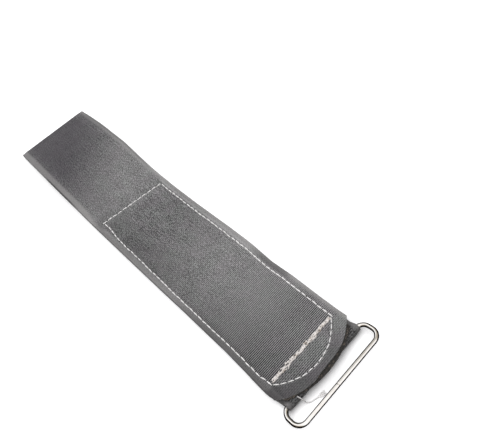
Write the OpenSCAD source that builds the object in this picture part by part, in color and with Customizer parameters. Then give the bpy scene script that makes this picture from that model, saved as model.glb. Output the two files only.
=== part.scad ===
// Wrist strap: one long hook-and-loop pile tape folded in half, with a wire ring sewn into one end
// and a hook patch sewn under the other. The strap lies closed on a flat surface.
// X runs from the far fold to the ring, Y across the tape, Z up. The origin is at the middle of the
// space that the strap takes up, on the surface it lies on.

/* [Tape] */
// Width of the tape
tape_w = 50; // [40:0.5:60]
// Thickness of the tape with its pile
tape_t = 1.0; // [0.8:0.1:1.3]
// From the fold to the end of the tail, at its middle
tail_l = 241.4; // [225:0.1:260]
// How far the rounded end of the tail stands past its square shoulders
tip_depth = 7.8; // [6:0.1:14]

/* [Lie of the folded strap] */
// Gap between the two runs at the fold
fold_gap = 1.6; // [1.4:0.1:2.2]
// Gap between the two runs along the middle, where the hooks hold
run_gap = 2.6; // [2.4:0.1:3.4]
// Height of the wave that the stiff tape keeps near the fold
hump_h = 5.8; // [3:0.1:8]
// From the fold to the crest of the wave
crest_x = 38; // [30:1:45]
// From the fold to where the lower run lies flat again
hump_end = 92; // [75:1:92]
// Length over which the tail climbs on to the ring loop
climb_l = 26; // [20:1:40]
// Clearance between the hooks and the top of the ring loop
tip_clear = 0.4; // [0.3:0.05:0.8]

/* [Ring loop] */
// From the end of the tail back to the axis of the ring's inner bar
bar_back = 2.6; // [2:0.1:6]
// Slack all round between the wire and the tape of the loop
loop_slack = 0.3; // [0.25:0.05:0.4]
// Width of the tape where it passes through the ring
loop_w = 47.8; // [36:0.2:47.8]
// Length over which the tape draws in to that width
draw_in_l = 11; // [6:1:20]
// Length over which the turned-back end comes down from the bar to the lower run
drop_l = 4.2; // [4.2:0.1:6]
// Length of the turned-back end, from the bar axis
return_l = 14; // [12.5:0.5:24]
// Gap between the turned-back end and the lower run, which the seams close
return_gap = 0.15; // [0.1:0.05:0.3]

/* [Ring] */
// Diameter of the wire
wire_d = 2.2; // [1.8:0.1:2.4]
// Length of the ring between wire centres
ring_l = 54.6; // [54.6:0.2:66]
// Width of the ring between wire centres
ring_h = 11.2; // [10:0.1:16]
// Radius of the ring's corners at the wire centre
ring_r = 4.6; // [3:0.1:4.6]
// Slit where the two ends of the wire meet
butt_gap = 0.15; // [0.1:0.05:0.4]
// From the middle of the outer bar to that slit
butt_y = -2.5; // [-15:0.5:15]
// Tilt of the ring as it rests in its loop
ring_tilt = 17; // [5:1:30]
// How far the ring sits to one side of the tape
ring_shift = 0.9; // [0:0.1:0.9]

/* [Hook patch] */
// Thickness of the hook tape with its hooks
hook_t = 0.8; // [0.6:0.1:1]
// From the edge of the tape to the edge of the hook tape
hook_inset = 3; // [2:0.1:3.8]
// From the fold to the start of the hook tape
hook_x = 93.4; // [92:0.1:93.8]
// How far the end of the hook tape stands out past the end of the tail
hook_out = 1.6; // [0.5:0.1:2.5]

/* [Seams] */
// Diameter of the sewing thread
thread_d = 0.55; // [0.4:0.05:0.7]
// Length of one stitch with the space after it
stitch_pitch = 3.3; // [2.6:0.1:4.5]
// Space between two stitches
stitch_space = 0.7; // [0.5:0.1:1.2]
// Width of the furrow that a seam pulls into the tape
furrow_w = 1.2; // [0.9:0.1:1.6]
// Depth of that furrow
furrow_d = 0.3; // [0.2:0.05:0.35]
// From the edge of the tape to the seams along its sides
side_inset = 4.2; // [4:0.1:6]
// From the end of the tail to the middle of the half-moon seam
tip_inset = 3.4; // [3:0.1:6]
// How far the middle of that seam stands past its two ends
moon_depth = 9.3; // [7:0.1:11]
// From the fold to the middle of the cross seam that starts the patch
cross_x = 97.2; // [97.2:0.1:100]
// How much further from the fold one end of that seam is than the other
cross_skew = 4.2; // [0:0.1:4.2]
// From the end of the tail back to the thick cross seam
tack_back = 13.6; // [13:0.1:22]
// Distance between the passes of the thick cross seam
tack_step = 0.8; // [0.6:0.1:1.2]
// From the bar axis back to the single seam of the ring loop
single_back = 4.8; // [4.8:0.1:5.6]
// From the bar axis back to the middle of the double seam
double_back = 7.8; // [7.6:0.1:9.5]
// Distance between the two lines of the double seam
double_step = 0.9; // [0.8:0.1:1.2]
// From the edge of the tape to the ends of the ring seams
ring_seam_inset = 2.8; // [2.4:0.1:5]

/* [Hidden] */

// Far fold: radius of the tape's middle and of its outer face, and the axis of the bend
fold_r = fold_gap / 2 + tape_t / 2;
fold_out = fold_gap / 2 + tape_t;
fold_axis = [fold_out, fold_out];
// Slope at which both runs leave the fold towards the crest of the wave
fold_slope = atan(hump_h * PI / 2 / (crest_x - fold_out));
start_x = fold_out + fold_r * sin(fold_slope);
start_lift = fold_r * (1 - cos(fold_slope));

// Ring loop: axis of the bar and radius of the tape's middle round it
bar_x = tail_l - bar_back;
bar_z = tape_t + loop_slack + wire_d / 2;
loop_r = wire_d / 2 + loop_slack + tape_t / 2;
loop_top = bar_z + loop_r + tape_t / 2;
return_z = tape_t + return_gap + tape_t / 2;

// Distance between the middles of the two runs at the fold, along the strap and over the ring loop
fold_pitch = 2 * fold_r;
run_pitch = run_gap + tape_t;
tip_pitch = loop_top + tip_clear + hook_t;

// Rounded end of the tail: a circle through its two shoulders
tip_r = (tape_w * tape_w / 4 + tip_depth * tip_depth) / (2 * tip_depth);
tip_x = tail_l - tip_r;
tack_x = tail_l - tack_back;
side_y = tape_w / 2 - side_inset;
hook_y = tape_w / 2 - hook_inset;

// Half-moon seam: a deeper circle than the cut end's, through the ends of the side seams
moon_r = (side_y * side_y + moon_depth * moon_depth) / (2 * moon_depth);
moon_centre = tail_l - tip_inset - moon_r;
moon_x = tail_l - tip_inset - moon_depth;

overall_l = bar_x + ring_h * cos(ring_tilt) + wire_d / 2;
arc_step = 10;
wave_step = 4;
climb_steps = 10;
drop_steps = 8;
// How far cutting and trimming shapes reach past what they cut
reach = 1;
above = hump_h + tip_pitch + 10;
// How deep the tight thread sinks into the tape
thread_sink = 0.05;

// A smooth climb from 0 to 1 as u goes from 0 to 1
function smooth(u) = let(v = min(max(u, 0), 1)) v * v * (3 - 2 * v);

// Height of the middle of the lower run
function run_z(x) =
    tape_t / 2 + (x < crest_x
        ? start_lift + (hump_h - start_lift) * sin(90 * (x - start_x) / (crest_x - start_x))
        : hump_h * (1 + cos(180 * min(1, (x - crest_x) / (hump_end - crest_x)))) / 2);

// Direction of travel of a curve f between two places close together
function heading(a, b) = atan2(b[1] - a[1], b[0] - a[0]);
function run_at(x) = [x, run_z(x)];
function run_heading(x) = heading(run_at(x - 0.01), run_at(x + 0.01));

// Distance from the lower run to the tail
function pitch_at(x) =
    fold_pitch + (run_pitch - fold_pitch) * smooth((x - start_x) / (hump_end - start_x))
    + (tip_pitch - run_pitch) * smooth((x - bar_x + climb_l) / climb_l);
function over(x) =
    let(a = run_heading(x), p = pitch_at(x)) [x - p * sin(a), run_z(x) + p * cos(a)];
function tail_at(x) = concat(over(x), [heading(over(x - 0.01), over(x + 0.01))]);

// Height of the middle of the turned-back end
function return_at(x) =
    [x, return_z + (bar_z + loop_r - return_z) * smooth((x - bar_x + drop_l) / drop_l)];

// Places along a run, as [x, z, direction]: arcs by angle, waves by distance
function arc_at(c, r, a, turn) = [c[0] + r * cos(a), c[1] + r * sin(a), a + 90 * turn];
wave_x = [for (i = [0 : ceil((hump_end - start_x) / wave_step)])
    start_x + (hump_end - start_x) * i / ceil((hump_end - start_x) / wave_step)];
climb_x = [for (i = [0 : climb_steps]) bar_x - climb_l * (1 - i / climb_steps)];
// The fold is parted at its outermost line, where the tail hinges: each run has its share of the turn
part_turn = [for (i = [0 : 8]) i / 9];

body_run = concat(
    [for (u = part_turn) arc_at(fold_axis, fold_r, 180 + (90 + fold_slope) * u, 1)],
    [for (x = wave_x) concat(run_at(x), [x < hump_end ? run_heading(x) : 0])],
    [for (q = [0 : arc_step : 180]) arc_at([bar_x, bar_z], loop_r, q - 90, 1)],
    [for (i = [1 : drop_steps]) let(x = bar_x - drop_l * i / drop_steps)
        concat(return_at(x), [heading(return_at(x + 0.01), return_at(x - 0.01))])],
    [[bar_x - return_l, return_z, 180]]);

tail_wave = [for (x = wave_x) tail_at(x)];
tail_climb = concat([for (x = climb_x) tail_at(x)], [tail_at(tail_l + hook_out + reach)]);
tail_run = concat(
    [for (u = part_turn) arc_at(fold_axis, fold_r, 180 - (90 - fold_slope) * u, -1)],
    tail_wave, tail_climb);
hook_run = concat([tail_at(hook_x)], tail_climb);

// Outline of a layer of a run, between two distances to the left of its middle
function beside(p, d) = [p[0] - d * sin(p[2]), p[1] + d * cos(p[2])];
function layer_outline(run, low, high) = concat(
    [for (p = run) beside(p, low)],
    [for (i = [len(run) - 1 : -1 : 0]) beside(run[i], high)]);

module layer(run, low, high, wide) {
    rotate([90, 0, 0])
        linear_extrude(height = wide, center = true)
            polygon(layer_outline(run, low, high));
}

// Plan view, drawn from the fold at x = 0, and stood up through the whole strap
module upright() {
    translate([0, 0, -reach])
        linear_extrude(height = above)
            children();
}

// The tape draws in from its full width to the loop, which lies in the middle of the ring
module body_plan() {
    neck_x = bar_x - draw_in_l;
    front_x = bar_x + loop_r + tape_t;
    low_y = ring_shift - loop_w / 2;
    high_y = ring_shift + loop_w / 2;
    polygon([[-reach, -tape_w / 2], [neck_x, -tape_w / 2], [bar_x, low_y], [front_x, low_y],
             [front_x, high_y], [bar_x, high_y], [neck_x, tape_w / 2], [-reach, tape_w / 2]]);
}

// A strip with a skewed start, and an end rounded to a circle whose centre is on the middle line
module tongue_plan(from_x, half_w, centre_x, r, skew = 0) {
    polygon([[from_x - skew / 2, -half_w], [centre_x, -half_w], [centre_x, half_w], [from_x + skew / 2, half_w]]);
    intersection() {
        translate([centre_x, 0])
            circle(r = r, $fn = 180);
        translate([centre_x - reach, -half_w])
            square([r + reach, 2 * half_w]);
    }
}

// Furrow along the whole outline of the patch
module outline_furrow() {
    half = furrow_w / 2;
    difference() {
        tongue_plan(cross_x - half, side_y + half, moon_centre, moon_r + half, cross_skew);
        tongue_plan(cross_x + half, side_y - half, moon_centre, moon_r - half, cross_skew);
    }
}

module tack_furrow() {
    translate([tack_x - tack_step - furrow_w / 2, -side_y])
        square([2 * tack_step + furrow_w, 2 * side_y]);
}

// One stitch of thread along X, centred
module stitch() {
    rotate([0, 90, 0])
        cylinder(d = thread_d, h = stitch_pitch - stitch_space, center = true, $fn = 24);
}

// A stitch on the tail at x, y and turned in plan, at a distance to the left of the tail's middle
module tail_stitch(x, y, turn, d) {
    p = tail_at(x);
    q = beside(p, d);
    translate([q[0], y, q[1]])
        rotate([0, -p[2], 0])
            rotate([0, 0, turn])
                stitch();
}

// The same stitch on the upper face of the tail and under the hook tape
module stitch_pair(x, y, turn) {
    tail_stitch(x, y, turn, tape_t / 2 - furrow_d + thread_d / 2 - thread_sink);
    tail_stitch(x, y, turn, -tape_t / 2 - hook_t);
}

// A straight row of stitches between two places in plan
module stitch_row(a, b) {
    n = floor(norm(b - a) / stitch_pitch);
    for (i = [0 : n - 1]) {
        p = a + (b - a) * (i + 0.5) / n;
        stitch_pair(p[0], p[1], heading(a, b));
    }
}

// Cross stitches of the ring loop: under the lower run and on the turned-back end
module loop_row(x, shift) {
    half = tape_w / 2 - ring_seam_inset - stitch_pitch / 2;
    lie = furrow_d - thread_d / 2 + thread_sink;
    n = floor(2 * half / stitch_pitch);
    for (i = [0 : n], z = [lie, return_z + tape_t / 2 - lie])
        translate([x, shift + half * (2 * i / n - 1), z])
            rotate([0, 0, 90])
                stitch();
}

// Moves the strap so that the middle of the whole object is over the origin
module place() {
    translate([-overall_l / 2, -ring_shift, 0])
        children();
}

// Lower run: half of the fold, the wave, the flat stretch, the ring loop and the turned-back end
module tape_body() color("dimgray") place() {
    difference() {
        intersection() {
            layer(body_run, -tape_t / 2, tape_t / 2, tape_w + 2 * reach);
            upright() body_plan();
        }
        for (x = [bar_x - single_back, bar_x - double_back]) {
            wide = x == bar_x - double_back ? furrow_w + double_step : furrow_w;
            translate([x - wide / 2, -tape_w / 2 - reach, -reach])
                cube([wide, tape_w + 2 * reach, reach + furrow_d]);
            translate([x - wide / 2, -tape_w / 2 - reach, return_z + tape_t / 2 - furrow_d])
                cube([wide, tape_w + 2 * reach, furrow_d + reach / 4]);
        }
    }
}

// Upper run: the other half of the fold and the tail with its rounded end
module tape_tail() color("gray") place() {
    difference() {
        intersection() {
            layer(tail_run, -tape_t / 2, tape_t / 2, tape_w + 2 * reach);
            upright() tongue_plan(-reach, tape_w / 2, tip_x, tip_r);
        }
        intersection() {
            layer(hook_run, tape_t / 2 - furrow_d, tape_t / 2 + reach, tape_w);
            upright() union() {
                outline_furrow();
                tack_furrow();
            }
        }
    }
}

// Hook tape on the inner face of the tail
module hook_patch() color("darkslategray") place() {
    intersection() {
        layer(hook_run, -tape_t / 2 - hook_t, -tape_t / 2, tape_w);
        upright() tongue_plan(hook_x - reach, hook_y, tip_x, tip_r + hook_out);
    }
}

// Cross seam at the start of the patch and the two side seams
module patch_seam() color("white") place() {
    stitch_row([cross_x - cross_skew / 2, -side_y], [cross_x + cross_skew / 2, side_y]);
    for (side = [-1, 1])
        stitch_row([cross_x + side * cross_skew / 2 + stitch_space, side * side_y], [moon_x, side * side_y]);
}

// Half-moon seam round the end of the patch
module tip_seam() color("white") place() {
    half_a = asin(side_y / moon_r);
    n = floor(2 * half_a * PI / 180 * moon_r / stitch_pitch);
    for (i = [0 : n - 1]) {
        a = -half_a + 2 * half_a * (i + 0.5) / n;
        stitch_pair(moon_centre + moon_r * cos(a), moon_r * sin(a), a + 90);
    }
}

// Thick cross seam of several passes
module tack_seam() color("ivory") place() {
    for (i = [-1 : 1]) {
        x = tack_x + i * tack_step;
        shift = i * stitch_pitch / 4;
        stitch_row([x, shift - side_y + stitch_pitch / 2], [x, shift + side_y - stitch_pitch / 2]);
    }
}

module ring_seam_single() color("white") place() {
    loop_row(bar_x - single_back, 0);
}

module ring_seam_double() color("white") place() {
    for (side = [-1, 1])
        loop_row(bar_x - double_back + side * double_step / 2, side * stitch_pitch / 4);
}

// Wire along a quarter turn, with its first end on the X axis
module wire_bend() {
    rotate_extrude(angle = 90, $fn = 96)
        translate([ring_r, 0])
            circle(d = wire_d, $fn = 48);
}

module wire_straight(l) {
    rotate([-90, 0, 0])
        cylinder(d = wire_d, h = l, center = true, $fn = 48);
}

// Ring bent from one wire, lying in the XY plane with the axis of its inner bar on Y
module ring_flat() {
    mid = ring_l / 2 - ring_r;
    difference() {
        union() {
            for (x = [0, ring_h])
                translate([x, 0, 0]) wire_straight(2 * mid);
            for (side = [0, 1]) mirror([0, side, 0]) {
                translate([ring_h - ring_r, mid, 0]) wire_bend();
                translate([ring_r, mid, 0]) rotate([0, 0, 90]) wire_bend();
                translate([ring_h / 2, ring_l / 2, 0])
                    rotate([0, 0, 90]) wire_straight(ring_h - 2 * ring_r);
            }
        }
        translate([ring_h, butt_y, 0])
            cube([2 * wire_d, butt_gap, 2 * wire_d], center = true);
    }
}

module ring() color("silver") place() {
    translate([bar_x, ring_shift, bar_z])
        rotate([0, -ring_tilt, 0])
            ring_flat();
}

tape_body();
tape_tail();
hook_patch();
patch_seam();
tip_seam();
tack_seam();
ring_seam_single();
ring_seam_double();
ring();
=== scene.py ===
"""Wrist strap: a long hook-and-loop pile tape folded in half, a wire ring sewn into one end, and a hook
patch sewn under the other. Lengths are millimetres measured from the far fold until a mesh is made."""

import bpy
import numpy as np
from mathutils import Matrix, Vector


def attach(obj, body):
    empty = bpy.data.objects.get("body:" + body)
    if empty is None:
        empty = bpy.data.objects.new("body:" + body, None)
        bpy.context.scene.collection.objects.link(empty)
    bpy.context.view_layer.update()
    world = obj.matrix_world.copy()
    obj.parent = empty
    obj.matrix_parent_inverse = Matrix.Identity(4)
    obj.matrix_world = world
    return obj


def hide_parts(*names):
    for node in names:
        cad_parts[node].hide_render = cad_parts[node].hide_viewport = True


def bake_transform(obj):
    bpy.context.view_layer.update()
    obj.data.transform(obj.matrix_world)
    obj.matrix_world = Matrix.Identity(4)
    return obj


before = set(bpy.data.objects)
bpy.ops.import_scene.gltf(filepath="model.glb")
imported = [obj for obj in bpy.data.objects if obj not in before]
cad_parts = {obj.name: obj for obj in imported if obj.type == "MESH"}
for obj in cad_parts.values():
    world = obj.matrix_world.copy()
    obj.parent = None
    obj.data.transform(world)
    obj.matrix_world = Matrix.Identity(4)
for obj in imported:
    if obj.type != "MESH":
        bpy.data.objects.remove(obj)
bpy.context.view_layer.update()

# ---------------------------------------------------------------------------------------------- Camera
# A short lens held over the ring's end of the strap, looking down along it at about 56 degrees.
# The frame is 500 wide by 446 high, and its long side takes the whole 36 mm sensor.
camera_data = bpy.data.cameras.new("camera")
camera_data.sensor_width = 36
camera_data.lens = 468.5 / 500 * camera_data.sensor_width
camera_data.clip_start, camera_data.clip_end = 0.01, 20
camera = bpy.data.objects.new("camera", camera_data)
ahead = Vector((-0.47565, 0.28724, -0.83139)).normalized()
sideways = ahead.cross(Vector((-0.52833, 0.66244, 0.53112))).normalized()
turned = Matrix([sideways, sideways.cross(ahead), -ahead]).transposed()
camera.matrix_world = Matrix.Translation((0.1565, -0.0405, 0.2155)) @ turned.to_4x4()
bpy.context.scene.collection.objects.link(camera)
bpy.context.scene.camera = camera
bpy.context.scene.view_settings.view_transform = "Standard"

# ---------------------------------------------------------------------------------------- Studio floor
# A smooth white sweep of card. It throws little light back up, as if black cards stood round the set, so
# faces turned down or outwards go dark. It reads as pure white far from the strap, as pale with soft shadows
# close to it, and is left darker inside the ring, where the loop shades it.


class Value:
    """A number that varies over a surface: one output socket, on which arithmetic adds Math nodes."""

    def __init__(self, finish, socket):
        self.finish, self.socket = finish, socket

    def maths(self, operation, *terms):
        return self.finish.node("Math", {"operation": operation}, dict(enumerate(terms)))

    def __add__(self, other):
        return self.maths("ADD", self, other)

    def __sub__(self, other):
        return self.maths("SUBTRACT", self, other)

    def __rsub__(self, other):
        return self.maths("SUBTRACT", other, self)

    def __mul__(self, other):
        return self.maths("MULTIPLY", self, other)

    def __truediv__(self, other):
        return self.maths("DIVIDE", self, other)

    def __abs__(self):
        return self.maths("ABSOLUTE", self)

    __radd__, __rmul__ = __add__, __mul__

    def wave(self, length):
        """A sine wave of that length, from 0 to 1."""
        return (self * (2 * np.pi / length)).maths("SINE", self * (2 * np.pi / length)) * 0.5 + 0.5

    def step(self, low, high):
        """A smooth step, 0 where the value is at low and 1 where it is at high."""
        return self.finish.node("MapRange", {"interpolation_type": "SMOOTHSTEP"}, {0: self, 1: low, 2: high})


class Finish:
    """One material or world: its node tree, and a call that adds any node."""

    def __init__(self, owner):
        self.owner = owner
        owner.use_nodes = True
        owner.node_tree.nodes.clear()

    def node(self, kind, settings=None, inputs=None, out=0):
        """Any node, with its settings, what goes into its sockets, and which output is wanted."""
        node = self.owner.node_tree.nodes.new("ShaderNode" + kind)
        for name, setting in (settings or {}).items():
            setattr(node, name, setting)
        for name, source in (inputs or {}).items():
            if isinstance(source, Value):
                self.owner.node_tree.links.new(source.socket, node.inputs[name])
            else:
                node.inputs[name].default_value = source
        return Value(self, node.outputs[out])

    def mix(self, share, a, b):
        """Colour a where share is 0, colour b where it is 1."""
        return self.node("Mix", {"data_type": "RGBA"}, {0: share, 6: a, 7: b}, out=2)

    def noise(self, where, scale, detail=2, rough=0.5):
        return self.node("TexNoise", {"noise_dimensions": "3D"},
                         {"Vector": where, "Scale": scale, "Detail": detail, "Roughness": rough})

    def done(self, shader, end="OutputMaterial"):
        """Ends the node tree with that shader, and gives back the material or world."""
        last = self.owner.node_tree.nodes.new("ShaderNode" + end)
        self.owner.node_tree.links.new(shader.socket, last.inputs["Surface"])
        return self.owner


def grey(level, warm=0.0, rose=0.0):
    """Linear colour of an 8-bit screen level, with warm added to red and taken from blue, and rose taken
    from green."""
    screen = np.array([level + warm, level - rose, level - warm, 255]) / 255
    return tuple(np.where(screen < 0.04045, screen / 12.92, ((screen + 0.055) / 1.055) ** 2.4).tolist())


def add_piece(name, points, faces, materials, which=None, uv=None, placed=False):
    """A mesh object from points in millimetres from the fold, moved to their place in the shared frame, or
    from points already placed in metres. which is each face's material, and uv each point's pair in metres."""
    mesh = bpy.data.meshes.new(name)
    in_frame = points if placed else (points - [overall_l / 2, ring_shift, 0]) * 0.001
    mesh.from_pydata(in_frame.tolist(), [], faces)
    for material in materials:
        mesh.materials.append(material)
    if which is not None:
        mesh.polygons.foreach_set("material_index", np.asarray(which, np.int32))
    if uv is not None:
        corner = np.empty(len(mesh.loops), np.int32)
        mesh.loops.foreach_get("vertex_index", corner)
        mesh.uv_layers.new(name="cloth").data.foreach_set("uv", uv[corner].astype(np.float32).ravel())
    mesh.shade_smooth()
    mesh.set_sharp_from_angle(angle=np.radians(40))
    piece = bpy.data.objects.new(name, mesh)
    bpy.context.scene.collection.objects.link(piece)
    return piece


card = Finish(bpy.data.materials.new("white_card"))
to_camera, mirrored = [card.node("LightPath", out=k) for k in (0, 3)]
thrown = card.mix(mirrored, grey(108, 5), grey(25, 2))
lit = card.node("BsdfDiffuse", None, {"Color": card.mix(to_camera, thrown, grey(243))})
spot = card.node("TexCoord", out=3)
floor_x, floor_y = [card.node("SeparateXYZ", None, {0: spot}, out=k) for k in (0, 1)]
reach = card.node("VectorMath", {"operation": "LENGTH"}, {0: spot}, out=1)
loop_side, bar_side, ring_side, blur = 0.095, 0.121, 0.025, 0.0015
outside_ring = floor_x.step(bar_side - blur, bar_side + blur)
past_ends = abs(floor_y).step(ring_side - blur, ring_side + blur)
behind_loop = 1 - floor_x.step(loop_side - 0.005, loop_side + 0.005)
for past in (past_ends, behind_loop):
    outside_ring = outside_ring.maths("MAXIMUM", outside_ring, past)
in_ring = card.mix(floor_x.step(0.1157, 0.1197), (0, 0, 0, 1), (0.36, 0.36, 0.36, 1))
near_strap = card.mix(outside_ring, in_ring, (0.4, 0.4, 0.4, 1))
lift = card.mix(reach.step(0.3, 1.4), near_strap, (1, 1, 1, 1))
glow = card.node("Emission", None, {"Color": lift, "Strength": to_camera})
half_floor = 2.5
floor = add_piece(
    "floor", half_floor * np.array([[-1, -1, 0], [1, -1, 0], [1, 1, 0], [-1, 1, 0]]), [[0, 1, 2, 3]],
    [card.done(card.node("AddShader", None, {0: lit, 1: glow}))], placed=True)

# ---------------------------------------------------------------------------------------- Studio light
# A white tent, brighter above and behind than in front, and a soft box straight overhead.
# What polished wire mirrors is the tent: white above, dark low down where its skirt is in shadow.
tent = Finish(bpy.data.worlds.new("tent"))
bpy.context.scene.world = tent.owner
by_camera, by_mirror = [tent.node("LightPath", out=k) for k in (0, 3)]
aim_x, aim_y, aim_z = [tent.node("SeparateXYZ", None, {0: tent.node("TexCoord")}, out=k) for k in (0, 1, 2)]
dim_corner = (1 - (aim_x + aim_z * 0.3).step(-0.1, 0.7)) * aim_y.step(0.08, 0.3)
tent_cloth = tent.mix(dim_corner, grey(255), grey(176, 4, -2))
tent_cloth = tent.mix(abs(aim_y).step(0.35, 0.7), tent_cloth, grey(160, 13, -3))
above_skirt = (aim_z - abs(aim_y) * 0.5).step(0.13, 0.28)
front = (aim_x - aim_z).step(-1.0, 0.5)
even = tent.node("Background", None, {"Color": tent.mix(front, grey(252, -2), grey(90)), "Strength": 0.42})
walls = tent.mix(above_skirt, grey(16, 1), tent_cloth)
inside = tent.node("Background", None, {"Color": walls, "Strength": 1.16})
white = tent.node("Background", None, {"Color": (1, 1, 1, 1), "Strength": 1.0})
on_strap = tent.node("MixShader", None, {0: by_mirror, 1: even, 2: inside})
tent.done(tent.node("MixShader", None, {0: by_camera, 1: on_strap, 2: white}), "OutputWorld")


def soft_box(name, place, size, watts, colour):
    """A square area lamp at place that faces the middle of the strap."""
    lamp = bpy.data.lights.new(name, "AREA")
    lamp.size, lamp.energy, lamp.color = size, watts, colour
    holder = bpy.data.objects.new(name, lamp)
    holder.location = place
    holder.rotation_mode = "QUATERNION"
    holder.rotation_quaternion = (-Vector(place)).to_track_quat("-Z", "Y")
    holder.visible_glossy = False
    bpy.context.scene.collection.objects.link(holder)


soft_box("key_box", (-0.12, 0.02, 1.0), 1.4, 12.4, (1.0, 0.982, 0.992))

# --------------------------------------------------------------------- The tape, and its lower run
# One 50 mm tape, knitted with a smooth ribbed back and a looped pile face, pile inwards. From its cut end it
# turns over the ring's bar, runs back along the table and keeps a low wave where it nears the far fold.
tape_w, tape_t = 50.0, 1.0
tail_l, tip_depth = 241.4, 7.8
fold_gap, run_gap, hump_h, crest_x, hump_end, climb_l, tip_clear = 1.6, 2.6, 5.8, 38.0, 92.0, 26.0, 0.4
bar_back, loop_slack, loop_w, draw_in_l, drop_l, return_l, return_gap = 2.6, 0.3, 48.5, 11.0, 4.2, 14.0, 0.15
wire_d, ring_h, ring_tilt, ring_shift = 2.2, 11.2, 17.0, 0.9
hook_t, hook_out = 0.8, 1.6

fold_r, fold_out = fold_gap / 2 + tape_t / 2, fold_gap / 2 + tape_t
fold_slope = np.arctan(hump_h * np.pi / 2 / (crest_x - fold_out))
start_x, start_lift = fold_out + fold_r * np.sin(fold_slope), fold_r * (1 - np.cos(fold_slope))
bar_x, bar_z = tail_l - bar_back, tape_t + loop_slack + wire_d / 2
loop_r = wire_d / 2 + loop_slack + tape_t / 2
return_z = tape_t + return_gap + tape_t / 2
tip_pitch = bar_z + loop_r + tape_t / 2 + tip_clear + hook_t
tip_r = (tape_w ** 2 / 4 + tip_depth ** 2) / (2 * tip_depth)
tip_x = tail_l - tip_r
overall_l = bar_x + ring_h * np.cos(np.radians(ring_tilt)) + wire_d / 2


def smooth(u):
    """A climb from 0 to 1 that starts and ends level: three u squared less two u cubed."""
    v = np.clip(u, 0, 1)
    return v * v * (3 - 2 * v)


def climb(x, low, high):
    """The same climb from 0 at low to 1 at high, as Value.step makes it in a finish."""
    return smooth((x - low) / (high - low))


def run_height(x):
    """Middle of the lower run: a quarter sine up to the crest, then half a cosine down to flat."""
    rise = start_lift + (hump_h - start_lift) * np.sin(np.pi / 2 * (x - start_x) / (crest_x - start_x))
    fall = hump_h * (1 + np.cos(np.pi * np.minimum(1, (x - crest_x) / (hump_end - crest_x)))) / 2
    return tape_t / 2 + np.where(x < crest_x, rise, fall)


def tail_line(x):
    """Middle of the tail: the lower run's point moved along its normal by the pitch, which grows from the
    fold to the flat stretch and again where the tail climbs on to the ring loop."""
    slope = np.arctan((run_height(x + 0.01) - run_height(x - 0.01)) / 0.02)
    pitch = (2 * fold_r + (run_gap + tape_t - 2 * fold_r) * smooth((x - start_x) / (hump_end - start_x))
             + (tip_pitch - run_gap - tape_t) * smooth((x - bar_x + climb_l) / climb_l))
    return np.stack([x - pitch * np.sin(slope), run_height(x) + pitch * np.cos(slope)], 1)


# The tape's middle line from its turned-back end to the tip of the tail, in close steps
back_x = np.linspace(bar_x - return_l, bar_x, 300)
back_z = return_z + (bar_z + loop_r - return_z) * smooth((back_x - bar_x + drop_l) / drop_l)
back_line = np.stack([back_x, back_z], 1)
turn = np.linspace(np.pi / 2, -np.pi / 2, 200)[1:]
loop_line = np.array([bar_x, bar_z]) + loop_r * np.stack([np.cos(turn), np.sin(turn)], 1)
lower_x = np.linspace(bar_x, start_x, 4000)[1:]
turn = np.linspace(1.5 * np.pi + fold_slope, 0.5 * np.pi + fold_slope, 200)[1:]
fold_line = np.array([fold_out, fold_out]) + fold_r * np.stack([np.cos(turn), np.sin(turn)], 1)
tail_u = np.linspace(start_x, tail_l + hook_out + 1, 4000)[1:]
lower_line = np.stack([lower_x, run_height(lower_x)], 1)
line = np.concatenate([back_line, loop_line, lower_line, fold_line, tail_line(tail_u)])
line_s = np.concatenate([[0], np.cumsum(np.hypot(*np.diff(line, axis=0).T))])
line_turn = np.unwrap(np.arctan2(np.gradient(line[:, 1], line_s), np.gradient(line[:, 0], line_s)))
marks = np.cumsum([len(back_line), len(loop_line), len(lower_x), len(fold_line)]) - 1
loop_start_s, loop_end_s, fold_start_s, fold_end_s = line_s[marks]


def run_s(x):
    """Distance along the tape of a place on the lower run."""
    return np.interp(-x, -line[marks[1]:marks[2] + 1, 0], line_s[marks[1]:marks[2] + 1])


def tail_s(x):
    """Distance along the tape of a place on the tail."""
    return np.interp(x, line[marks[3]:, 0], line_s[marks[3]:])


# Cloth never lies quite straight: how far each edge stands out at places along the strap
wander_x = [0, 18, 45, 57, 70, 85, 105, 125, 155, 170, 186, 200, 214, 228, 241]
wander_left = [-0.2, 0.0, 0.2, 0.1, -0.1, -0.2, -0.4, -0.6, -0.9, -1.1, -1.1, -1.1, -0.6, 0.1, -0.2]
wander_right = [0.4, 0.2, 0.2, 0.6, 0.1, -0.4, -0.7, -0.5, 0.4, 0.5, -0.4, 0.3, 0.3, 0.0, 0.3]
bow_depth = 0.83


def lay(s, y, d):
    """Point on the tape: along its middle line by s, across by y, and d out from the middle. The whole strap
    bows sideways by 0.8 mm between its ends, and its edges wander, but not where they enter the ring."""
    x, z, a = (np.interp(s, line_s, part) for part in (line[:, 0], line[:, 1], line_turn))
    x, z = x - d * np.sin(a), z + d * np.cos(a)
    bow = -bow_depth * (1 - (2 * x / tail_l - 1) ** 2) * (x > 0)
    out = np.where(y > 0, np.interp(x, wander_x, wander_right), np.interp(x, wander_x, wander_left))
    held = smooth((bar_x - 4 - x) / 20) * (s < fold_start_s) + (s >= fold_start_s)
    return np.stack(np.broadcast_arrays(x, y * (1 + out * held / (tape_w / 2)) + bow, z), -1)


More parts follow.
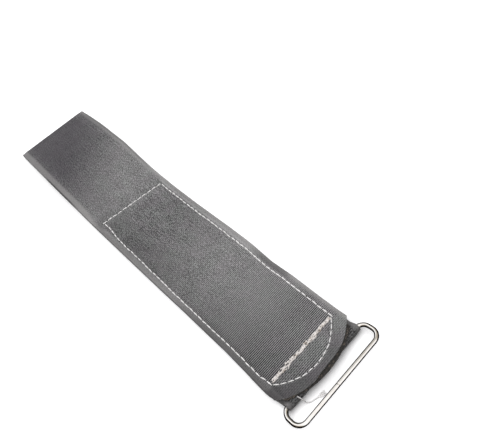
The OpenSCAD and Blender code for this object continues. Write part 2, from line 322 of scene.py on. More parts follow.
# Cut across the tape: the back from edge to edge, a rounded selvage, the pile face, the other selvage.
# The columns are close together along the side seams and near the edges.
rim_n = 5
by_seam = 20.3 + np.array([-0.9, -0.6, -0.35, 0, 0.35, 0.6, 0.9])
by_edge = np.array([22, 22.8, 23.6, 24.2, 24.6])
across = np.unique(np.concatenate([np.linspace(-19, 19, 27), -by_seam, by_seam, -by_edge, by_edge]))
edge_y = across[-1]
rim = np.linspace(np.pi / 2, -np.pi / 2, rim_n + 2)[1:-1]
rim_y = edge_y + (tape_w / 2 - edge_y) * np.cos(rim)
shell_y = np.concatenate([across, rim_y, across[::-1], -rim_y[::-1]])
cols = len(across)
selvage = 1 - 0.3 * smooth((np.abs(across) - 20.8) / 3.2)
rim_d = selvage[-1] * np.sin(rim)
shell_d = tape_t / 2 * np.concatenate([selvage, rim_d, -selvage[::-1], -rim_d[::-1]])
is_back = np.concatenate([np.ones(cols), np.full(rim_n, 0.5), np.zeros(cols), np.full(rim_n, 0.5)])


def tape_shell(name, s, y, d, materials):
    """Skin of a stretch of tape from its grid of s, y and d, one row a station and one column a point of
    the cut across. The back and selvages take the first material, the pile the second, the ends the third."""
    rows, ring_n = s.shape
    quad = np.arange(rows - 1)[:, None] * ring_n + np.arange(ring_n)
    step = np.arange(rows - 1)[:, None] * ring_n + (np.arange(ring_n) + 1) % ring_n
    faces = np.stack([quad, quad + ring_n, step + ring_n, step], -1).reshape(-1, 4).tolist()
    pile = np.zeros(ring_n, int)
    pile[cols + rim_n:2 * cols + rim_n - 1] = 1
    upper, lower = np.arange(cols), np.arange(cols)[::-1] + cols + rim_n
    strip = np.stack([upper[:-1], lower[:-1], lower[1:], upper[1:]], 1).tolist()
    strip += [[*range(cols - 1, cols + rim_n + 1)][::-1], [*range(2 * cols + rim_n - 1, ring_n), 0][::-1]]
    last = (rows - 1) * ring_n
    faces += [face[::-1] for face in strip] + [[k + last for k in face] for face in strip]
    which = np.tile(pile, rows - 1).tolist() + [2] * (2 * len(strip))
    uv = np.stack([s, y], -1).reshape(-1, 2) * 0.001
    return add_piece(name, lay(s, y, d).reshape(-1, 3), faces, materials, which, uv)


def cloth_place(finish):
    """Distance along the tape and across it, in millimetres, from the piece's own UV map."""
    metres = finish.node("UVMap", {"uv_map": "cloth"})
    where = finish.node("VectorMath", {"operation": "SCALE"}, {0: metres, "Scale": 1000.0})
    split = [finish.node("SeparateXYZ", None, {0: where}, out=k) for k in (0, 1)]
    return where, *split


# Distance along the tape of the tail's own zero: on the flat stretch, a place x lies at tail_off + x
tail_off = float(tail_s(150.0)) - 150.0


def ribbed_back(name, marks):
    """Smooth ribbed back of the tape. Courses 0.85 mm apart cross it and columns 1.82 mm apart run along it,
    with every second loop offset. The selvages are plainer and paler, and shade is painted on about the fold.
    marks(s, y) gives the needle holes and the places that are pressed plain, each from 0 to 1."""
    back = Finish(bpy.data.materials.new(name))
    where, s, y = cloth_place(back)
    x = s - tail_off
    left, right = y * -1, y
    stray = back.noise(where, 0.9, 2) - 0.5
    ribs = (s + stray * 0.14).wave(0.85)
    peaks = ribs.maths("POWER", ribs, 1.6)
    columns = (y + stray * 0.3).wave(1.82)
    brick = (s.wave(1.7) - 0.5) * (y.wave(1.82) - 0.5) * 2
    speck = back.noise(where, 1.7, 1) * 1.7 + back.noise(where, 0.8, 2) * 0.7 - 1.2
    # Painted highlights: sparse bright specks, as glints off the yarn, added to the colour and the relief
    glint = back.noise(where, 1.15, 1).step(0.63, 0.75)
    uneven = back.noise(where, 0.16, 3, 0.6) - 0.5

    # Relief: the ribs stand out more where the tail is pulled taut, and lie down where it is pressed plain
    near_fold = 1 - x.step(74, 92)
    edge = (abs(y) + near_fold * (y.step(2, -2) * 1.5 + 0.5)).step(22.2, 24.2)
    shaded_holes, plain = marks(s, y)
    plain = plain.maths("MAXIMUM", plain, edge)
    taut = x.step(165, 205)
    texture = (peaks * (taut * 1.1 + uneven * 1.2 + 0.85) * (1 - plain * 0.5)
               + brick * (0.38 - taut * 0.28 + plain * 0.55) + speck * (1.75 - taut * 0.7))
    knit = ((texture + columns * (0.14 - taut * 0.1) - taut * 0.29) * (1 - plain * 0.72)
            + uneven * 0.2 + glint * 0.45 - 0.05)
    raised = knit + plain * 0.43

    # Colour laid over the knit: painted shade about the fold and up the wave, where the tape turns from the
    # light, painted light on the wave's near slope, paler along most of the patch, painted shade down the left
    # half, at the patch's start and in a dip of the right edge, darker past the tack at the tip, painted shade
    # along the very edges and round the ring's loop under the tail, pale beside the side seams, and the needle
    # holes painted dark, as shade in them
    bend = abs(s - (fold_start_s + fold_end_s) / 2)
    fold_shade = (1 - (bend + y * 0.85).step(22, 92)) * (1 - edge * 0.42) * (1 - abs(y).step(15, 22) * 0.3)
    lit_wave_and_pale_patch = x.step(115, 160) * (1 - x.step(195, 222)) + x.step(40, 60) * (1 - x.step(86, 108))
    blotch = back.noise(where, 0.055, 3, 0.6)
    patch_start = x.step(104, 118) * (1 - x.step(146, 168))
    shade = (left.step(-6, 20) * x.step(84, 98) * (1 - edge * patch_start * 0.5) + patch_start * 0.32
             + left.step(17.5, 23.5) * x.step(150, 192) * 1.25
             + right.step(21.4, 22.4) * x.step(170, 182) * (1 - x.step(194, 201)) * 1.8)
    past_tack = plain.step(0.88, 1) * x.step(tail_l - 14, tail_l - 12) * (1 - right.step(7, 19))
    beside_seam = (abs(y).step(21.3, 22.2) * (1 - abs(y).step(22.4, 23.8)) * x.step(94, 100)
                   * (1 - right.step(0, 10) * x.step(165, 185)))
    edge_shade = (left.step(23.9, 24.5) * x.step(36, 48) * (1 - x.step(64, 76)) * 0.7
              + right.step(23.1, 23.9) * near_fold * x.step(6, 16) * 0.3)
    loop_shade = 1 - s.step(loop_end_s + 4, loop_end_s + 12)

    tint = back.noise(where, 0.11, 2).step(0.35, 0.65)
    yarn = back.mix(raised, grey(14, 0.5), back.mix(tint, grey(170, 0, -2), grey(170, 0.5, 2.5)))
    # The shares below lay these colours over the yarn, painted light and shade among them
    for share, colour in (
            (edge * 0.5, grey(158, 2)), (blotch.step(0.35, 0.7) * 0.05 + lit_wave_and_pale_patch * 0.15, grey(190, 1)),
            (beside_seam * 0.3, grey(196, 1)), (shade * 0.26 + loop_shade * 0.4, grey(30)),
            (past_tack * 0.42, grey(44, 0, 5)), (fold_shade * 0.78, grey(60, -1, 5)), (edge_shade, grey(24)),
            (shaded_holes * 0.5, grey(40))):
        yarn = back.mix(share, yarn, colour)
    bump = back.node("Bump", None, {"Height": raised - shaded_holes, "Distance": 0.00016, "Strength": 1.0})
    shader = back.node("BsdfPrincipled", None, {
        "Base Color": yarn, "Roughness": 0.86, "Normal": bump, "Sheen Weight": 0.2, "Sheen Roughness": 0.5,
        "Specular IOR Level": 0.3})
    return back.done(shader)


def looped_pile(name):
    """Pile face of the tape: fine loops that stand up in loose tufts, a little darker between them."""
    pile = Finish(bpy.data.materials.new(name))
    where, s, y = cloth_place(pile)
    tuft = pile.node("TexVoronoi", {"feature": "F1"}, {"Vector": where, "Scale": 1.15, "Randomness": 0.9})
    fuzz = pile.noise(where, 3.4, 3, 0.7)
    loops = (1 - tuft * 1.1) * 0.6 + fuzz * 0.5
    nap = pile.noise(where, 0.07, 2)
    yarn = pile.mix(loops, grey(62), grey(150, 0.5))
    yarn = pile.mix(nap.step(0.35, 0.7) * 0.3, yarn, grey(132))
    bump = pile.node("Bump", None, {"Height": loops, "Distance": 0.0005, "Strength": 1.0})
    shader = pile.node("BsdfPrincipled", None, {
        "Base Color": yarn, "Roughness": 0.95, "Normal": bump, "Sheen Weight": 0.5, "Sheen Roughness": 0.45,
        "Specular IOR Level": 0.2})
    return pile.done(shader)


def cut_edge(name):
    """Cut end of the tape, heat sealed: pale crushed yarn ends."""
    cut = Finish(bpy.data.materials.new(name))
    where = cut.node("TexCoord", out=3)
    ends = cut.noise(where, 1900, 2)
    bump = cut.node("Bump", None, {"Height": ends, "Distance": 0.0002})
    shader = cut.node("BsdfPrincipled", None, {
        "Base Color": cut.mix(ends.step(0.35, 0.65), grey(140), grey(225)), "Roughness": 0.7, "Normal": bump})
    return cut.done(shader)


single_back, double_back, double_step, ring_seam_inset = 4.8, 7.8, 0.9, 2.8
stitch_pitch, stitch_space, thread_d, furrow_d = 3.3, 0.7, 0.55, 0.3


def pits(off_line, along, pitch):
    """Needle holes on a seam: dark spots every pitch along a line, where off_line is the distance from it."""
    ring = (along / pitch).maths("FRACT", along / pitch)
    return (1 - abs(off_line).step(0.15, 0.4)) * abs(ring - 0.5).step(0.4, 0.48)


loop_half = tape_w / 2 - ring_seam_inset - stitch_pitch / 2
loop_pitch = 2 * loop_half / np.floor(2 * loop_half / stitch_pitch)
ring_rows = [(single_back, 0.0), (double_back - double_step / 2, 0.25), (double_back + double_step / 2, -0.25)]


def ring_seam_holes(s, y):
    """Holes of the ring loop's seams, on the underside and on the turned-back end alike."""
    found = 0.0
    for gap, shift in ring_rows:
        along = y + (loop_half + loop_pitch / 2 - shift * stitch_pitch)
        for seam_s in (float(run_s(bar_x - gap)), float(np.interp(bar_x - gap, back_x, line_s[:len(back_x)]))):
            found = pits(s - seam_s, along, loop_pitch) + found
    return found, (s - loop_start_s).step(-1, 0) * (1 - (s - loop_end_s).step(0, 1)) * 0.6


pile_face, cut_face = looped_pile("pile_face"), cut_edge("cut_edge")
join_x = 9.0
join_run_s, join_tail_s = float(run_s(join_x)), float(tail_s(join_x))
run_rows = np.unique(np.concatenate([
    np.linspace(0, 3, 6), np.linspace(3, return_l - drop_l, 32),
    np.linspace(return_l - drop_l, loop_start_s, 16), np.linspace(loop_start_s, loop_end_s, 30),
    np.linspace(loop_end_s, loop_end_s + 12, 46), np.linspace(loop_end_s + 12, join_run_s, 110)]))
s, y = np.meshgrid(run_rows, shell_y, indexing="ij")
x_here = np.interp(s, line_s, line[:, 0])
neck = smooth((x_here - bar_x + draw_in_l) / draw_in_l)
d = np.tile(shell_d, (len(run_rows), 1))
ring_furrow_d, ring_furrow_half, seam_half = 0.24, 0.45, 22.6
for gap, _ in ring_rows:
    furrow = np.exp(-((x_here - bar_x + gap) / ring_furrow_half) ** 2) * (np.abs(y) < seam_half)
    d -= is_back * ring_furrow_d * furrow * (d > 0)
tape_run = tape_shell("tape_run", s, y * (1 - neck * (1 - loop_w / tape_w)) + neck * ring_shift, d,
                      [ribbed_back("ribbed_back_run", ring_seam_holes), pile_face, cut_face])
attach(tape_run, "band")
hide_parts("tape_body")

# ------------------------------------------------------------------------------------------ Far fold
# The short stretch of the same tape that turns over at the far end.
fold_rows = np.concatenate([
    np.linspace(join_run_s, fold_start_s, 14)[:-1], np.linspace(fold_start_s, fold_end_s, 25),
    np.linspace(fold_end_s, join_tail_s, 14)[1:]])
s, y = np.meshgrid(fold_rows, shell_y, indexing="ij")
tape_fold = tape_shell("tape_fold", s, y, np.tile(shell_d, (len(fold_rows), 1)),
                       [ribbed_back("ribbed_back_fold", lambda s, y: (s * 0.0, s * 0.0)), pile_face, cut_face])
between = 0.0008 * np.array([-np.sin(fold_slope), 0, np.cos(fold_slope)])
hinge = (np.array([fold_out, 0, fold_out]) - [overall_l / 2, 0, 0]) * 0.001
tuple(hinge - between)
tuple(hinge + between)
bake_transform(tape_fold)
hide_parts("tape_body", "tape_tail")

# ----------------------------------------------------------------------------------------------- Tail
# The upper run of the tape. Its free end is cut to a shallow arc, and the seams of the hook patch
# pull narrow furrows into it.
side_inset, tip_inset, moon_depth, cross_x, cross_skew, tack_back = 4.2, 3.4, 9.3, 96.7, 5.0, 13.6
side_y, tack_x, moon_x = tape_w / 2 - side_inset, tail_l - tack_back, tail_l - tip_inset - moon_depth
moon_r = (side_y ** 2 + moon_depth ** 2) / (2 * moon_depth)
moon_half, moon_c = np.arcsin(side_y / moon_r), tail_l - tip_inset - moon_r


def drift(x, step=climb):
    """How far the left side seam strays out from its line: in at its start, out towards the tip. A finish
    asks for it with Value.step in place of climb."""
    out = step(x, 104, 112) * 0.2 + step(x, 120, 182) * 0.9
    return out * (1 - step(x, 220, 229)) - (1 - step(x, 97, 112)) * 1.2


def drift_right(x, step=climb):
    """How far the right side seam strays out: a little in towards the tip."""
    return step(x, 170, 210) * -0.2


def moon_in(y):
    """How far the half-moon strays in from its arc: more to the right."""
    return 0.03 * y + 0.65


def even_pitch(length):
    """Stitch length that divides a seam evenly."""
    return length / np.floor(length / stitch_pitch)


def patch_holes(s, y):
    """Needle holes round the hook patch and along the half-moon at its end."""
    x = s - tail_off
    inside = (abs(y) - side_y - 0.5).step(0.3, 0)
    length = moon_x - cross_x - stitch_space
    stray = drift(x, Value.step) * y.step(0.5, -0.5) + drift_right(x, Value.step) * y.step(-0.5, 0.5)
    along_side = x.step(cross_x - 1, cross_x) * (1 - x.step(moon_x, moon_x + 0.8))
    side = pits(abs(y) - side_y - stray, x - (cross_x + stitch_space), even_pitch(length)) * along_side
    skew = x - (y * (cross_skew / (2 * side_y)) + cross_x)
    cross = pits(skew, y + side_y, even_pitch(2 * side_y)) * inside
    far = (x - moon_c).maths("SQRT", (x - moon_c) * (x - moon_c) + y * y) + moon_in(y)
    round_it = (y / moon_r).maths("ARCSINE", y / moon_r) * moon_r
    moon = pits(far - moon_r, round_it + moon_half * moon_r, even_pitch(2 * moon_half * moon_r)) * inside
    pressed = (far - moon_r).step(0, 1) * x.step(moon_x - 1, moon_x + 1)
    past_tack = x.step(tack_x, tack_x + 1) * (1 - x.step(tack_x + 3, tack_x + 9) * 0.2) * 0.8
    for place in (past_tack, (abs(y) - side_y).step(0, 1.2) * 0.8):
        pressed = pressed.maths("MAXIMUM", pressed, place)
    return side + cross + moon * x.step(moon_x - 1, moon_x), pressed


# The end was cut by hand, and strays from its arc by up to a millimetre
cut_y = [-25, -21, -13, -7, -4, 1, 6, 12, 17, 21, 25]
cut_out = [0.2, 1.0, 1.1, 0.6, -0.2, -0.6, -0.3, 0.25, 0.2, -0.2, -0.6]
bend_x, lean_l = 205, 30


def row_x(u, y):
    """Place of a row of the tail's mesh: straight across until bend_x, then bending until it is the arc of
    the cut end. About the patch's first seam the rows lean over as the seam does."""
    arc = tip_x + np.sqrt(tip_r ** 2 - np.clip(y, -24.99, 24.99) ** 2) + np.interp(y, cut_y, cut_out)
    bent = bend_x + (arc - bend_x) * (u - bend_x) / (tail_l - bend_x)
    lean = cross_skew / 2 * y / side_y * smooth(1 - np.abs(u - cross_x) / lean_l)
    return np.where(u < bend_x, u + lean, bent)


tail_rows = np.unique(np.concatenate([
    np.linspace(join_x, 92, 56), cross_x + np.linspace(-5.2, 5.2, 30), np.linspace(103, bend_x, 60),
    np.linspace(bend_x, 222, 18), np.linspace(222, tail_l, 62)]))
u, y = np.meshgrid(tail_rows, shell_y, indexing="ij")
x = np.where(u == join_x, join_x, row_x(u, y))
d = np.tile(shell_d, (len(tail_rows), 1))
between_seams = np.abs(y) < side_y + 0.6
stray = np.where(y < 0, drift(x), drift_right(x))
furrow_half, tail_furrow_d, tack_half = 0.5, 0.26, 1.1
off_side = (np.abs(y) - side_y - stray) / furrow_half
off_cross = (x - cross_x - cross_skew / 2 * y / side_y) / furrow_half
off_moon = (np.hypot(x - moon_c, y) - moon_r + moon_in(y)) / furrow_half
furrow = np.maximum.reduce([
    np.exp(-off_side ** 2) * (x > cross_x - 1) * (x < moon_x + 0.5), np.exp(-off_cross ** 2) * between_seams,
    np.exp(-off_moon ** 2) * between_seams * (x > moon_x - 0.5),
    np.exp(-((x - tack_x) / tack_half) ** 4) * between_seams])
d -= tail_furrow_d * furrow * (is_back == 1)
tape_tail = tape_shell("tape_tail_cloth", tail_s(x), y, d,
                       [ribbed_back("ribbed_back_tail", patch_holes), pile_face, cut_face])
corner_area = 2 * (tape_w / 2 * tip_depth) - (tip_r ** 2 * np.arcsin(tape_w / 2 / tip_r)
                                              - tape_w / 2 * (tip_r - tip_depth))
tail_cut = float(tail_s(tail_l)) - join_tail_s
(tape_w * tail_cut - corner_area) * 1e-6
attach(tape_tail, "tail")
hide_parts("tape_tail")

# ----------------------------------------------------------------------------------------- Hook patch
# A strip of moulded hook tape sewn to the pile side of the tail. A thin woven base carries rows of small
# stiff hooks that face the lower run, all bent the same way in a row.
hook_inset, hook_x, hook_base = 3.0, 93.4, 0.42
half_hook = tape_w / 2 - hook_inset


def hook_row_x(u, y):
    """Rows of the patch bend into the arc of its rounded end, as the tail's do."""
    arc = tip_x + np.sqrt((tip_r + hook_out) ** 2 - y ** 2)
    return hook_x + (arc - hook_x) * u


def tube_sides(rows, sides):
    """Faces round a tube that has that many rows of points and that many sides, facing outward."""
    r, k = np.meshgrid(np.arange(rows - 1), np.arange(sides), indexing="ij")
    row, after = r * sides, (k + 1) % sides
    return np.stack([row + k, row + after, row + sides + after, row + sides + k], -1).reshape(-1, 4)


moulded = Finish(bpy.data.materials.new("moulded_hooks"))
where = moulded.node("TexCoord", out=3)
grain = moulded.noise(where, 900, 3, 0.65)
weave = moulded.node("TexVoronoi", {"feature": "F1"}, {"Vector": where, "Scale": 1100.0})
moulded_bump = moulded.node("Bump", None, {"Height": grain + weave * 0.5, "Distance": 0.0002})
hook_finish = moulded.done(moulded.node("BsdfPrincipled", None, {
    "Base Color": moulded.mix(grain.step(0.52, 0.75), grey(20, 2), grey(118, 13)), "Roughness": 0.5,
    "Normal": moulded_bump, "Specular IOR Level": 0.5}))

u, y = np.meshgrid(np.linspace(0, 1, 90), np.linspace(-half_hook, half_hook, 30), indexing="ij")
x = hook_row_x(u, y)
top = lay(tail_s(x), y, np.full_like(x, -tape_t / 2 + 0.02))
low = lay(tail_s(x), y, np.full_like(x, -tape_t / 2 - hook_base))
n_rows, n_cols = x.shape
cell = np.arange(n_rows - 1)[:, None] * n_cols + np.arange(n_cols - 1)
grid = np.stack([cell, cell + 1, cell + n_cols + 1, cell + n_cols], -1).reshape(-1, 4)
count = n_rows * n_cols
border = np.concatenate([
    np.arange(n_cols), np.arange(1, n_rows) * n_cols + n_cols - 1,
    (n_rows - 1) * n_cols + np.arange(n_cols - 1)[::-1], np.arange(1, n_rows - 1)[::-1] * n_cols])
after = np.roll(border, -1)
walls = np.stack([border, border + count, after + count, after], 1)
base_points = np.concatenate([top.reshape(-1, 3), low.reshape(-1, 3)])
base_faces = np.concatenate([grid[:, ::-1], grid + count, walls])

# One hook: a short post on the base that leans over into a beak, a four-sided bar along a bent line.
# Each place on the line is how far it leans, how high it stands, and how thick the bar is there.
hook_lean, hook_high, hook_thick = np.array([
    [0, 0.0, 0.22], [0.0, 0.14, 0.18], [0.05, 0.26, 0.15], [0.20, 0.33, 0.13], [0.34, 0.25, 0.07]]).T[..., None]
pitch_x, pitch_y, beak_t = 1.55, 1.35, 0.12
hook_u, hook_v = np.meshgrid(np.arange(hook_x + 1.2, tail_l + hook_out, pitch_x),
                             np.arange(-half_hook + 1, half_hook - 0.9, pitch_y), indexing="ij")
odd_row = np.arange(hook_v.shape[1]) % 2
hook_u = hook_u + pitch_x / 2 * odd_row
lean_way = np.where(odd_row, 1, -1) * np.ones_like(hook_u)
keep = hook_u < hook_row_x(1, hook_v) - 0.5
hook_u, hook_v, lean_way = (part[keep][:, None, None] for part in (hook_u, hook_v, lean_way))
bar_long, bar_wide = np.array([1, -1, -1, 1]) * 0.5, np.array([1, 1, -1, -1]) * 0.5
post_x = hook_u + lean_way * (hook_lean + hook_thick * bar_long)
post_y = hook_v + hook_thick * bar_wide * np.ones_like(post_x)
post_d = -tape_t / 2 - hook_base - hook_high - beak_t * bar_long * (hook_lean > 0.1) * np.ones_like(post_x)
hook_points = lay(tail_s(post_x), post_y, post_d).reshape(-1, 3)
hook_quads = np.concatenate([tube_sides(5, 4), [[16, 17, 18, 19]]])
hook_faces = np.where(lean_way > 0, hook_quads, hook_quads[:, ::-1])
hook_faces = (hook_faces + 20 * np.arange(len(hook_u))[:, None, None]).reshape(-1, 4) + len(base_points)
hook_patch = add_piece("hook_tape", np.concatenate([base_points, hook_points]),
                       np.concatenate([base_faces, hook_faces]).tolist(), [hook_finish])
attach(hook_patch, "tail")
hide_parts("hook_patch")

# -------------------------------------------------------------------------------------- Patch seams
# Thick white two-ply thread. Each stitch rises from one needle hole, lies in its furrow and goes down the
# next, and a second row of stitches shows on the hook side.
chance = np.random.default_rng(7)


def thread_finish(name, light, dark, spots=0.0):
    """Spun thread: a fine twist along the yarn, a soft sheen, and, by spots, a few darker pinkish places of
    painted shade.
    """
    yarn = Finish(bpy.data.materials.new(name))
    where = yarn.node("TexCoord", out=3)
    fibre = yarn.noise(where, 2600, 2)
    pink_shade = yarn.noise(where, 420, 2)
    tone = yarn.mix(fibre.step(0.3, 0.6), dark, light)
    tone = yarn.mix(pink_shade.step(0.52, 0.66) * spots, tone, grey(158, 11))
    bump = yarn.node("Bump", None, {"Height": fibre, "Distance": 0.0001})
    return yarn.done(yarn.node("BsdfPrincipled", None, {
        "Base Color": tone, "Roughness": 0.62, "Normal": bump, "Sheen Weight": 0.3}))


def stitches(place, x, y, heading, length, level, rise, thick=thread_d / 2, loose=1.0):
    """Stitches as short twisted tubes. place maps (x, y, d) to a point; each stitch lies along its heading
    with its middle at level and its ends sunk by rise, as the fourth power of the distance from the middle."""
    n, rows, sides = len(x), 9, 8
    heading = heading + chance.normal(0, 0.05, n) * loose
    x = x + chance.normal(0, 0.06, n) * loose
    y = y + chance.normal(0, 0.08, n) * loose
    length = length * (1 + chance.normal(0, 0.03, n) * loose)
    t = np.linspace(-1, 1, rows)
    angle = np.arange(sides) * 2 * np.pi / sides
    swell = 1 + 0.14 * np.cos(2 * angle[None, :] - 5.5 * t[:, None])
    radius = thick * swell * (1 - 0.55 * t[:, None] ** 6) * (1 + chance.normal(0, 0.05, n))[:, None, None]
    along = (t[:, None] * np.ones(sides))[None] * length[:, None, None] / 2
    side = radius * np.cos(angle)
    high = level + np.sign(level) * (radius * np.sin(angle) - rise * (t ** 4)[:, None])
    cosine, sine = np.cos(heading)[:, None, None], np.sin(heading)[:, None, None]
    at_x = x[:, None, None] + along * cosine - side * sine
    at_y = y[:, None, None] + along * sine + side * cosine
    quads, start_cap = tube_sides(rows, sides), np.arange(sides)[::-1]
    end_cap = start_cap[::-1] + (rows - 1) * sides
    if level < 0:
        quads, start_cap, end_cap = quads[:, ::-1], start_cap[::-1], end_cap[::-1]
    first = np.arange(n)[:, None] * rows * sides
    faces = (quads[None] + first[:, :, None]).reshape(-1, 4).tolist()
    faces += (first + start_cap).tolist() + (first + end_cap).tolist()
    return place(at_x, at_y, high).reshape(-1, 3), faces


def join(parts):
    """Several pairs of points and faces as one pair."""
    all_points, all_faces, offset = [], [], 0
    for points, faces in parts:
        all_points.append(points)
        all_faces += [[k + offset for k in face] for face in faces]
        offset += len(points)
    return np.concatenate(all_points), all_faces


def on_tail(x, y, d):
    """Point on the tail at a place in plan."""
    return lay(tail_s(x), y, d)


def tail_row(x, y, heading, length, **more):
    """A row of stitches on the back of the tail and its twin on the hook side."""
    upper = stitches(on_tail, x, y, heading, length, level=tape_t / 2 - furrow_d + 0.3, rise=0.42, **more)
    lower = stitches(on_tail, x, y, heading, length, level=-tape_t / 2 - hook_t, rise=0.3, **more)
    return join([upper, lower])


def straight_row(a, b, stray=None, side=-1, **more):
    """Stitches evenly from place a to place b in plan, moved out by stray(x) on the left, or the right."""
    a, b = np.array(a), np.array(b)
    gap = b - a
    n = int(np.floor(np.hypot(*gap) / stitch_pitch))
    mid = a + gap * ((np.arange(n) + 0.5) / n)[:, None]
    pitch, turn = np.hypot(*gap) / n, np.full(n, np.arctan2(gap[1], gap[0]))
    if stray:
        mid[:, 1] += side * stray(mid[:, 0])
        turn += side * (stray(mid[:, 0] + 0.5) - stray(mid[:, 0] - 0.5))
    return tail_row(mid[:, 0], mid[:, 1], turn, np.full(n, pitch - 0.2), **more)


white_thread = thread_finish("white_thread", grey(252, 1), grey(212, 3))
patch_rows = [straight_row((cross_x - cross_skew / 2, -side_y), (cross_x + cross_skew / 2, side_y), thick=0.33)]
for side, stray, thick in ((-1, drift, 0.3), (1, drift_right, 0.34)):
    first_hole = (cross_x + side * cross_skew / 2 + stitch_space, side * side_y)
    patch_rows.append(straight_row(first_hole, (moon_x, side * side_y), stray=stray, side=side, thick=thick))
patch_seam = add_piece("patch_stitches", *join(patch_rows), [white_thread])
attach(patch_seam, "tail")
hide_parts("patch_seam")

# -------------------------------------------------------------------------------------- Half-moon seam
# The same thread carried on in a deeper arc than the cut end's, from one side seam to the other.
n = int(np.floor(2 * moon_half * moon_r / stitch_pitch))
angle = -moon_half + 2 * moon_half * (np.arange(n) + 0.5) / n
r = moon_r - moon_in(moon_r * np.sin(angle))
tip_seam = add_piece("tip_stitches", *tail_row(
    moon_c + r * np.cos(angle), r * np.sin(angle), angle + np.pi / 2,
    np.full(n, 2 * moon_half * moon_r / n - 0.5), thick=0.25), [white_thread])
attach(tip_seam, "tail")
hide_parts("tip_seam")

# ------------------------------------------------------------------------------------------ Tack seam
# Where the sewing starts and ends: several passes of cream thread over each other, straight across the
# tail, with the stitches of each pass a little askew.
cream_thread = thread_finish("cream_thread", grey(240, 4), grey(176, 8), spots=0.9)
passes = []
pass_at = [(-0.5, 0.16, 0.0), (0.5, -0.18, 0.05), (-0.15, -0.4, 0.16), (0.2, 0.42, 0.24)]
for k, (offset, skew, lift) in enumerate(pass_at):
    n = 13 + k % 2
    y = -side_y + 1.2 + (2 * side_y - 2.4) * (np.arange(n) + 0.5) / n
    x = tack_x + offset + chance.normal(0, 0.2, n)
    passes.append(stitches(on_tail, x, y, np.pi / 2 + skew + chance.normal(0, 0.06, n), np.full(n, 3.1),
                           level=tape_t / 2 - furrow_d + 0.26 + lift, rise=0.3, thick=0.32, loose=1.8))
    passes.append(stitches(on_tail, x, y, np.full(n, np.pi / 2 + skew), np.full(n, 2.9),
                           level=-tape_t / 2 - hook_t, rise=0.3, thick=0.28))
tack_seam = add_piece("tack_stitches", *join(passes), [cream_thread])
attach(tack_seam, "tail")
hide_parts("tack_seam")

# ---------------------------------------------------------------------------------------- Ring seams
# Two cross seams close the tape round the ring's bar: a neat single one beside the bar, and behind it an
# untidy double one. Both show on the underside and on the turned-back end.


def on_run(x, y, d):
    """Point on the lower run at a place in plan."""
    return lay(run_s(x), y, d)


def on_return(x, y, d):
    """Point on the turned-back end at a place in plan."""
    return lay(np.interp(x, back_x, line_s[:len(back_x)]), y, d)


def loop_row(gap, shift, askew):
    """A seam across the ring loop, on both of its outer faces."""
    n = round(2 * loop_half / loop_pitch)
    y = shift * stitch_pitch + loop_half * (2 * np.arange(n + 1) / n - 1)
    x = np.full(n + 1, bar_x - gap)
    turned = np.pi / 2 + askew * np.where(np.arange(n + 1) % 2, 1, -1)
    faces_out = ((on_run, tape_t / 2 - furrow_d + 0.2), (on_return, tape_t / 2 - furrow_d + 0.28))
    return join([stitches(place, x, y, turned, np.full(n + 1, loop_pitch - 0.35), level=level, rise=0.36,
                          thick=0.25, loose=1 + 6 * abs(askew)) for place, level in faces_out])


ring_seam_single = add_piece("single_ring_stitches", *loop_row(single_back, 0.0, 0.03), [white_thread])
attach(ring_seam_single, "band")
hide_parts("ring_seam_single")
ring_seam_double = add_piece("double_ring_stitches", *join([
    loop_row(double_back - double_step / 2, 0.25, 0.16), loop_row(double_back + double_step / 2, -0.25, 0.2)]),
    [white_thread])
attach(ring_seam_double, "band")
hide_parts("ring_seam_double")

# ----------------------------------------------------------------------------------- Loose thread ends
# The sewing was not trimmed: one end of white thread comes out between the tail and the ring loop, drops
# over the loop into the ring and lies on the table, and its cut end is splayed flat.


def tube(points, radii, sides=10, flat=1.0, twist=0.0):
    """Tube along a smooth curve through points (Catmull-Rom), with its radius at each and flat times that
    height. twist adds the ridges of a two-ply yarn."""
    p = np.array(points, float)
    p = np.concatenate([[2 * p[0] - p[1]], p, [2 * p[-1] - p[-2]]])
    u = np.linspace(0, len(points) - 1 - 1e-6, 12 * (len(points) - 1) + 1)
    i, f = u.astype(int), (u % 1)[:, None]
    a, b, c, e = p[i], p[i + 1], p[i + 2], p[i + 3]
    path = 0.5 * (2 * b + (c - a) * f + (2 * a - 5 * b + 4 * c - e) * f ** 2 + (3 * b - a - 3 * c + e) * f ** 3)
    along = np.gradient(path, axis=0)
    along /= np.linalg.norm(along, axis=1)[:, None]
    side = np.cross([0, 0, 1.0], along)
    side /= np.linalg.norm(side, axis=1)[:, None]
    top = np.cross(along, side)
    angle = np.arange(sides) * 2 * np.pi / sides
    radius = np.interp(u, np.arange(len(radii)), radii)[:, None] * (
        1 + 0.12 * np.cos(2 * angle[None] - twist * np.arange(len(u))[:, None]))
    points = path[:, None] + (radius * np.cos(angle))[..., None] * side[:, None] + (
        flat * radius * np.sin(angle))[..., None] * top[:, None]
    caps = [np.arange(sides)[::-1].tolist(), ((len(u) - 1) * sides + np.arange(sides)).tolist()]
    return points.reshape(-1, 3), tube_sides(len(u), sides).tolist() + caps


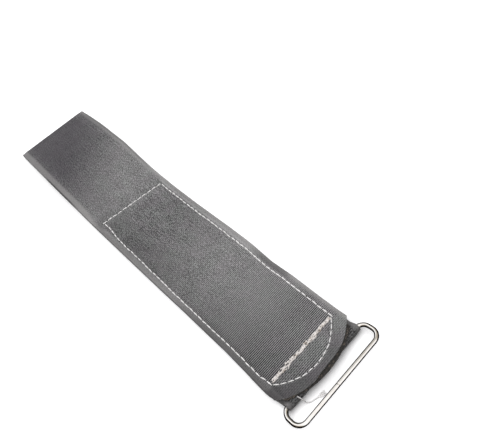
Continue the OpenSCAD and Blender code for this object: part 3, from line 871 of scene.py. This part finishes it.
thread_path = [(234.5, -17.6, 3.6), (237.0, -17.6, 4.9), (239.4, -17.1, 5.08), (240.9, -16.7, 4.5),
               (242.3, -16.2, 3.1), (243.5, -15.8, 1.2), (244.6, -14.2, 0.5), (245.5, -11.2, 0.4),
               (245.8, -10.2, 0.4)]
path_radii = [0.24, 0.25, 0.26, 0.25, 0.24, 0.23, 0.22, 0.22, 0.14]
splay_from = np.array([245.6, -10.9, 0.4])
splay_along, splay_out = np.array([1.2, 4.1, 0.0]), np.array([0.96, -0.28, 0.0])
fibres = []
for side in np.linspace(-1, 1, 14):
    length, lift = chance.uniform(0.85, 1.1), chance.uniform(0.1, 0.55)
    fibres.append(tube([splay_from + splay_out * side * 0.12,
                        splay_from + splay_along * length * 0.5 + splay_out * side * 0.8 + [0, 0, lift * 0.5],
                        splay_from + splay_along * length + splay_out * side * 1.2 + [0, 0, lift]],
                       [0.09, 0.08, 0.05], sides=5))
loose_end = join([tube(thread_path, path_radii, flat=0.8, twist=0.9), *fibres])
thread_end = add_piece("loose_thread", *loose_end, [white_thread])
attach(thread_end, "band")

# ----------------------------------------------------------------------------------------------- Ring
# Nickel-plated steel wire, bent to a long rounded rectangle. Its two ends meet in a butt joint on the
# outer bar, cut square with a slightly broken edge, and its inner bar turns in the tape's loop.


ring_l, ring_r, butt_gap, butt_y = 54.6, 4.6, 0.05, -2.5


def ring_path(n):
    """Places along the wire's middle from one side of the butt joint round to the other, as x, y, heading and
    distance, evenly by length: outer bar, corner, short end, corner, inner bar and back."""
    mid, end, quarter = ring_l / 2 - ring_r, ring_h - 2 * ring_r, np.pi / 2 * ring_r
    lengths = np.array([mid - butt_y - butt_gap / 2, quarter, end, quarter, 2 * mid, quarter, end, quarter,
                        mid + butt_y - butt_gap / 2])
    ends = np.concatenate([[0], np.cumsum(lengths)])
    bends = np.array([0, 1, 0, 1, 0, 1, 0, 1, 0]) * np.pi / 2
    start_turn = np.pi / 2 + np.concatenate([[0], np.cumsum(bends)[:-1]])
    q = np.linspace(0, ends[-1], n)
    k = np.clip(np.searchsorted(ends, q, side="right") - 1, 0, 8)
    heading = start_turn[k] + bends[k] * (q - ends[k]) / lengths[k]
    step = ends[-1] / (n - 1)
    between = (heading[1:] + heading[:-1]) / 2
    x = ring_h + np.concatenate([[0], np.cumsum(np.cos(between) * step)])
    y = butt_y + butt_gap / 2 + np.concatenate([[0], np.cumsum(np.sin(between) * step)])
    return x, y, heading, q


x, y, heading, q = ring_path(520)
sides = 32
angle = np.arange(sides) * 2 * np.pi / sides
near_cut = np.minimum(q, q[-1] - q)
radius = wire_d / 2 * (1 - 0.05 * np.exp(-near_cut / 0.12))[:, None] * np.ones(sides)
out_x, out_y = np.sin(heading)[:, None], -np.cos(heading)[:, None]
px = x[:, None] + radius * np.cos(angle) * out_x
py = y[:, None] + radius * np.cos(angle) * out_y
pz = radius * np.sin(angle)
tilt = np.radians(ring_tilt)
ring_points = np.stack([bar_x + px * np.cos(tilt) - pz * np.sin(tilt), ring_shift + py,
                        bar_z + px * np.sin(tilt) + pz * np.cos(tilt)], -1).reshape(-1, 3)
ring_faces = tube_sides(len(q), sides)[:, ::-1].tolist()
ring_faces += [np.arange(sides).tolist(), ((len(q) - 1) * sides + np.arange(sides))[::-1].tolist()]
wire_uv = np.stack([np.repeat(q, sides), np.tile(angle * wire_d / 2, len(q))], 1) * 0.001
nickel = Finish(bpy.data.materials.new("nickel_plate"))
along_wire = nickel.node("UVMap", {"uv_map": "cloth"})
drawn_out = nickel.node("VectorMath", {"operation": "MULTIPLY"}, {0: along_wire, 1: (300.0, 5000.0, 1.0)})
drawn = nickel.noise(drawn_out, 1.0, 3, 0.6)
worn = nickel.noise(nickel.node("TexCoord", out=3), 240, 3)
nickel_bump = nickel.node("Bump", None, {"Height": drawn, "Distance": 0.0000015, "Strength": 0.5})
nickel_finish = nickel.done(nickel.node("BsdfPrincipled", None, {
    "Base Color": nickel.mix(worn.step(0.35, 0.7), grey(244, 3), grey(232, 5)), "Metallic": 1.0,
    "Roughness": drawn * 0.04 + worn * 0.05 + 0.06, "Normal": nickel_bump}))
ring = add_piece("wire_ring", ring_points, ring_faces, [nickel_finish], uv=wire_uv)
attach(ring, "wire_ring")
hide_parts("ring")
